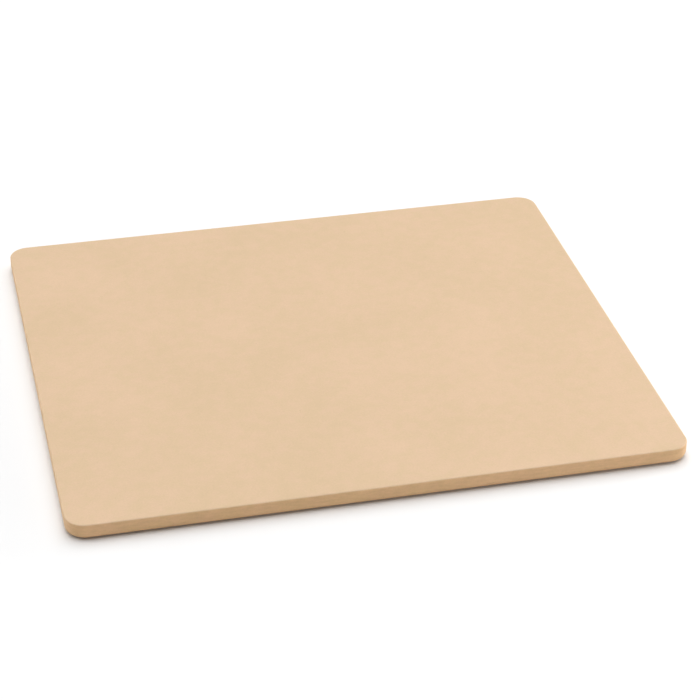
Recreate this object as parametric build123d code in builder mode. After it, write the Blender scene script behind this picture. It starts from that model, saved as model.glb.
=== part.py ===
from build123d import *
import os

# A rectangular pizza stone: one slab of pressed and fired cordierite, the same all through.
# It lies flat, with +Z up, its long side along X and its short side along Y.
# The origin is the middle of the underside, which rests on an oven rack or a table.
# All lengths are in millimetres.

# Slab, corner to corner before its corners are rounded
slab_length = 406.0
slab_depth = 356.0
slab_thickness = 11.0

# The four corners, seen from above
corner_radius = 13.5

# Rolled arris between the baking face and the side wall, all the way round
top_arris_radius = 1.0

# Larger rolled arris between the side wall and the underside, all the way round
bottom_arris_radius = 4.0

os.makedirs("parts", exist_ok=True)

# Stone slab
with BuildPart() as stone_slab:
    with BuildSketch():
        RectangleRounded(slab_length, slab_depth, corner_radius)
    extrude(amount=slab_thickness)
    baking_face = stone_slab.faces().sort_by(Axis.Z)[-1]
    fillet(baking_face.edges(), radius=top_arris_radius)
    underside = stone_slab.faces().sort_by(Axis.Z)[0]
    fillet(underside.edges(), radius=bottom_arris_radius)

stone_slab.part.label = "stone_slab"
export_step(stone_slab.part, "parts/stone_slab.step")
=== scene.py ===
import math
import bpy
from mathutils import Matrix, Vector


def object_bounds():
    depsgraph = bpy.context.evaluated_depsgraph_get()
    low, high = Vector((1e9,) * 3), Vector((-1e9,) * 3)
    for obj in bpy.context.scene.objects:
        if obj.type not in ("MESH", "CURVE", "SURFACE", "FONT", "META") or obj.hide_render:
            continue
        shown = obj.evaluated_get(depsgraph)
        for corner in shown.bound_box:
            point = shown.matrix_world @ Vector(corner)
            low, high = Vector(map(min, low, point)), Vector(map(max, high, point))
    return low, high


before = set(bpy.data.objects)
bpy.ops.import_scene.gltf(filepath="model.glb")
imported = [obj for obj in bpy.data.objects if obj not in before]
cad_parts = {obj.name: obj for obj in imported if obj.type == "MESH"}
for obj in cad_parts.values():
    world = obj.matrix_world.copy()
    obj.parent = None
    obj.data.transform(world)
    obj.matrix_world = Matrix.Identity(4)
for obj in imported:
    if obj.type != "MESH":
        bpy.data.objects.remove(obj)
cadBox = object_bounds()
print("frame loaded:", ", ".join(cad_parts))


class Wire:  # an output socket that can stand in a sum, so that masks and heights read as plain maths
    def __init__(self, finish, socket):
        self.finish = finish
        self.socket = socket

    def maths(self, operation, first, second):
        return self.finish.node("ShaderNodeMath", {"operation": operation}, {0: first, 1: second})

    def __add__(self, other):
        return self.maths("ADD", self, other)

    def __radd__(self, other):
        return self.maths("ADD", other, self)

    def __sub__(self, other):
        return self.maths("SUBTRACT", self, other)

    def __rsub__(self, other):
        return self.maths("SUBTRACT", other, self)

    def __mul__(self, other):
        return self.maths("MULTIPLY", self, other)

    def __rmul__(self, other):
        return self.maths("MULTIPLY", other, self)


class Finish:  # one material, or the room's own, and the nodes that it is made of
    def __init__(self, name="", tree=None):
        if tree is None:
            self.material = bpy.data.materials.new(name)
            self.material.use_nodes = True
        self.tree = tree or self.material.node_tree
        self.tree.nodes.clear()

    # Settings come before sockets, because they can change which sockets there are
    def node(self, kind, settings, sockets, output=0):
        made = self.tree.nodes.new(kind)
        for name, value in settings.items():
            setattr(made, name, value)
        for key, value in sockets.items():
            if isinstance(value, Wire):
                self.tree.links.new(value.socket, made.inputs[key])
            else:
                made.inputs[key].default_value = value
        return Wire(self, made.outputs[output]) if made.outputs else None

    def noise(self, place, look):  # size is the width of one blotch, in metres
        sockets = {
            "Vector": place,
            "Scale": 1 / look["size"],
            "Detail": look["detail"],
            "Roughness": look["mix"],
        }
        return self.node("ShaderNodeTexNoise", {}, sockets) - 0.5  # so that it lies about 0

    def ramp(self, value, low, high, toLow=0.0, toHigh=1.0):  # a smooth step of value from low to high
        sockets = {"Value": value, "From Min": low, "From Max": high, "To Min": toLow, "To Max": toHigh}
        return self.node("ShaderNodeMapRange", {"interpolation_type": "SMOOTHSTEP"}, sockets)

    def stretch(self, place, factors):
        return self.node("ShaderNodeVectorMath", {"operation": "MULTIPLY"}, {0: place, 1: factors})

    # Two colours, mixed by share: the Mix node's own colour sockets are 6 and 7, and its colour result is 2
    def blend(self, share, first, second, way="MIX"):
        settings = {"data_type": "RGBA", "blend_type": way, "clamp_factor": True}
        return self.node("ShaderNodeMix", settings, {0: share, 6: first, 7: second}, output=2)

    def shade(self, colour, brightness):  # a colour, made lighter or darker by a value about 1
        grey = self.node("ShaderNodeCombineColor", {}, {0: brightness, 1: brightness, 2: brightness})
        return self.blend(1.0, colour, grey, "MULTIPLY")

    def close(self, sockets):
        shader = self.node("ShaderNodeBsdfPrincipled", {}, sockets)
        self.node("ShaderNodeOutputMaterial", {}, {"Surface": shader})
        return self.material


# Stone slab: fired cordierite, matt and fine-grained, with faint mottling and a streaked side wall; a browner wall
# tint, most on the front, and a browner underside are painted shade; the paler top arris is a painted highlight
cordierite = {
    "pink": (0.629, 0.450, 0.300, 1.0),  # the mottling runs between these two
    "yellow": (0.620, 0.454, 0.289, 1.0),
    # painted shade: the walls' browner shaded colour, in full on the front wall
    "wallShadeTint": (1.08, 0.965, 0.805, 1.0),
    "sideShadeShare": 0.45,  # share of the wall's painted shade tint on the walls that don't face the front
    # painted shade on the lower roll and underside, darker and browner
    "underShadeTint": (0.84, 0.74, 0.60, 1.0),
    # Zones by the surface's facing, upward from -1 under the slab to 1 on top
    "underZone": (-0.85, -0.35),
    "wallZone": (0.35, 0.90),
    "arrisStart": (0.30, 0.70),
    "arrisEnd": (0.93, 0.998),
    "frontZone": (-0.90, 0.20),  # and this one backward, from -1 on the front wall
    "clouds": {"size": 0.070, "detail": 3.0, "mix": 0.5},
    "cloudDepth": 0.10,
    "patches": {"size": 0.010, "detail": 4.0, "mix": 0.6},
    "patchReach": 0.16,  # how far from the middle the noise goes for a fully pink or yellow patch
    "patchClouds": 0.5,  # how much of the clouds the pink and yellow follow
    "patchDepth": 0.09,
    "grain": {"size": 0.0012, "detail": 3.0, "mix": 0.6},
    "grainDepth": 0.16,
    "streaks": {"size": 0.009, "detail": 3.0, "mix": 0.6},
    "streakShape": (1.0, 1.0, 5.0),  # five times as long as they are high
    "streakDepth": 0.30,
    "speckSpacing": 0.006,
    "speckRadius": (0.045, 0.075),  # soft edge of a speck, in spacings
    "speckShare": 0.55,  # share of the cells that stay without a speck
    "speckDepth": 0.16,
    "arrisHighlightDepth": 0.035,  # how much paler the top arris is painted: a painted highlight
    "roughness": 0.84,
    "grainRoughness": 0.1,
    "wallRoughness": 0.04,
    "specular": 0.3,
    "patchRelief": 0.2,  # heights, as shares of the grain's
    "speckRelief": 0.6,
    "reliefStrength": 0.35,
    "reliefHeight": 0.0002,
}


def fireCordierite(look):
    finish = Finish("fired cordierite")
    place = finish.node("ShaderNodeTexCoord", {}, {}, output="Object")
    facing = finish.node("ShaderNodeTexCoord", {}, {}, output="Normal")
    backward = finish.node("ShaderNodeSeparateXYZ", {}, {"Vector": facing}, output="Y")
    upward = finish.node("ShaderNodeSeparateXYZ", {}, {"Vector": facing}, output="Z")
    underside = finish.ramp(upward, *look["underZone"], 1.0, 0.0)
    wall = finish.ramp(upward, *look["wallZone"], 1.0, 0.0) - underside
    arris = finish.ramp(upward, *look["arrisStart"]) - finish.ramp(upward, *look["arrisEnd"])
    # painted shade on the walls: full on the front wall, less on the others
    paintedWallShade = wall * finish.ramp(backward, *look["frontZone"], 1.0, look["sideShadeShare"])

    clouds = finish.noise(place, look["clouds"])
    patches = finish.noise(place, look["patches"])
    grain = finish.noise(place, look["grain"])
    streaks = finish.noise(finish.stretch(place, look["streakShape"]), look["streaks"])
    cell = {"Vector": place, "Scale": 1 / look["speckSpacing"]}
    middle = finish.node("ShaderNodeTexVoronoi", {}, cell, output="Distance")
    cellColour = finish.node("ShaderNodeTexVoronoi", {}, cell, output="Color")
    chance = finish.node("ShaderNodeSeparateColor", {}, {0: cellColour})
    inside = finish.ramp(middle, *look["speckRadius"], 1.0, 0.0)
    specks = inside * finish.ramp(chance, look["speckShare"], 1.0)

    reach = look["patchReach"]
    pinkness = finish.ramp(patches + clouds * look["patchClouds"], -reach, reach)
    colour = finish.blend(pinkness, look["yellow"], look["pink"])
    # painted shade: the walls tinted browner, most on the front wall
    colour = finish.blend(paintedWallShade, colour, finish.blend(1.0, colour, look["wallShadeTint"], "MULTIPLY"))
    # painted shade: a darker, browner lower roll and underside
    colour = finish.blend(underside, colour, finish.blend(1.0, colour, look["underShadeTint"], "MULTIPLY"))
    mottling = clouds * look["cloudDepth"] + patches * look["patchDepth"] + grain * look["grainDepth"]
    # the arris term is a painted highlight along the top edge; streaks and specks are the stone's own
    marks = streaks * wall * look["streakDepth"] + arris * look["arrisHighlightDepth"] - specks * look["speckDepth"]
    colour = finish.shade(colour, 1.0 + mottling + marks)

    roughness = look["roughness"] + grain * look["grainRoughness"] + wall * look["wallRoughness"]
    height = grain + patches * look["patchRelief"] - specks * look["speckRelief"]
    relief = {"Strength": look["reliefStrength"], "Distance": look["reliefHeight"], "Height": height}
    return finish.close({
        "Base Color": colour,
        "Roughness": roughness,
        "Normal": finish.node("ShaderNodeBump", {}, relief),
        "Specular IOR Level": look["specular"],
    })


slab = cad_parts["stone_slab"]
slab.material_slots[0].material = fireCordierite(cordierite)
print("slab finished")

# Floor: a plain white sweep, a little paler away from the slab, out towards the soft boxes and beyond them
# the paler floor away from the slab is painted light: it makes up for the soft boxes' light falling off there
floor = {
    "reach": 30.0,
    "gap": 0.00002,  # keeps the sheet just clear of the underside
    "near": (0.825, 0.825, 0.825, 1.0),
    "far": (0.92, 0.92, 0.92, 1.0),
    "paleFrom": 0.3,  # distances from the slab's middle
    "paleTo": 1.2,
    "roughness": 0.9,
}


def layFloor(plan):
    reach, height = plan["reach"], cadBox[0].z - plan["gap"]
    corners = [(x * reach, y * reach, height) for x, y in ((-1, -1), (1, -1), (1, 1), (-1, 1))]
    mesh = bpy.data.meshes.new("studio_floor")
    mesh.from_pydata(corners, [], [(0, 1, 2, 3)])
    sheet = bpy.data.objects.new("studio_floor", mesh)
    bpy.context.scene.collection.objects.link(sheet)
    finish = Finish("white floor")
    place = finish.node("ShaderNodeTexCoord", {}, {}, output="Object")
    away = finish.node("ShaderNodeVectorMath", {"operation": "LENGTH"}, {0: place}, output="Value")
    # painted light: the floor paler away from the slab, where the soft boxes' light falls off
    colour = finish.blend(finish.ramp(away, plan["paleFrom"], plan["paleTo"]), plan["near"], plan["far"])
    mesh.materials.append(finish.close({"Base Color": colour, "Roughness": plan["roughness"]}))


layFloor(floor)
print("floor laid")

# Lights: wide soft lights high behind the slab, on its left and above it, low soft boxes that stand round it,
# and a pale room that is brightest at the horizon
highLights = {
    "backLight": {"azimuth": 27.0, "height": 57.0, "spread": 60.0, "strength": 1.90},
    "leftLight": {"azimuth": 300.0, "height": 55.0, "spread": 60.0, "strength": 0.62},
    "topLight": {"azimuth": 0.0, "height": 88.0, "spread": 36.0, "strength": 1.06},
}
softBoxes = {
    "rightBox": {"azimuth": 83.0, "distance": 1.3, "width": 0.65, "top": 0.46, "watts": 7.8},
    "leftBox": {"azimuth": 292.0, "distance": 1.5, "width": 0.75, "top": 0.53, "watts": 4.3},
    "frontBox": {"azimuth": 142.0, "distance": 1.1, "width": 0.75, "top": 0.40, "watts": 1.75},
}
room = {
    "zenith": 0.1,
    "horizon": 0.92,  # on top of the zenith's
    "bandFrom": 0.04,  # where the horizon's band starts and ends to fade, as the sine of the height
    "bandTo": 0.30,
}


def lightRoom(plan):
    world = bpy.data.worlds.new("pale room")
    world.use_nodes = True
    sky = Finish(tree=world.node_tree)
    towards = sky.node("ShaderNodeTexCoord", {}, {}, output="Generated")
    rise = sky.node("ShaderNodeSeparateXYZ", {}, {"Vector": towards}, output="Z")
    band = sky.ramp(rise, plan["bandFrom"], plan["bandTo"], plan["horizon"], 0.0)
    light = {"Color": (1.0, 1.0, 1.0, 1.0), "Strength": band + plan["zenith"]}
    glow = sky.node("ShaderNodeBackground", {}, light)
    sky.node("ShaderNodeOutputWorld", {}, {"Surface": glow})
    bpy.context.scene.world = world


def compass(azimuth, height):  # a direction, with azimuth 0 straight behind the slab and 90 on its right
    turn, rise = math.radians(azimuth), math.radians(height)
    return Vector((math.sin(turn) * math.cos(rise), math.cos(turn) * math.cos(rise), math.sin(rise)))


def hang(name, lamp, place, back):  # back is the direction that the lamp turns its back to
    holder = bpy.data.objects.new(name, lamp)
    holder.location = place
    holder.rotation_euler = back.to_track_quat("Z", "Y").to_euler()
    holder.visible_camera = False
    bpy.context.scene.collection.objects.link(holder)


def hangHighLight(name, plan):  # a sun lights by its direction alone, so its place is free
    lamp = bpy.data.lights.new(name, "SUN")
    lamp.angle = math.radians(plan["spread"])
    lamp.energy = plan["strength"]
    back = compass(plan["azimuth"], plan["height"])
    hang(name, lamp, back, back)


def standSoftBox(name, plan):  # a box that stands on the floor and faces the slab
    lamp = bpy.data.lights.new(name, "AREA")
    lamp.shape = "RECTANGLE"
    lamp.size, lamp.size_y = plan["width"], plan["top"]
    lamp.energy = plan["watts"]
    back = compass(plan["azimuth"], 0.0)
    hang(name, lamp, back * plan["distance"] + Vector((0.0, 0.0, plan["top"] / 2)), back)


lightRoom(room)
for name, plan in highLights.items():
    hangHighLight(name, plan)
for name, plan in softBoxes.items():
    standSoftBox(name, plan)
print("lights hung")

# Camera: the photograph's own viewpoint, in front of the slab, left of it and above it
camera = {
    "place": (-0.28578, -1.25905, 0.80888),
    "turnRight": 13.508,
    "tiltDown": 31.940,
    "roll": -0.643,
    "focalPixels": 2180.6,
    "framePixels": 700,
    "sensor": 36.0,
}


def placeCamera(plan):
    lens = bpy.data.cameras.new("camera")
    lens.sensor_width = plan["sensor"]
    lens.lens = plan["focalPixels"] / plan["framePixels"] * plan["sensor"]
    holder = bpy.data.objects.new("camera", lens)
    turn = Matrix.Rotation(-math.radians(plan["turnRight"]), 4, "Z")
    tilt = Matrix.Rotation(math.radians(90.0 - plan["tiltDown"]), 4, "X")
    roll = Matrix.Rotation(-math.radians(plan["roll"]), 4, "Z")
    holder.matrix_world = Matrix.Translation(plan["place"]) @ turn @ tilt @ roll
    bpy.context.scene.collection.objects.link(holder)
    bpy.context.scene.camera = holder


placeCamera(camera)
bpy.context.scene.view_settings.view_transform = "Standard"
print("camera placed")
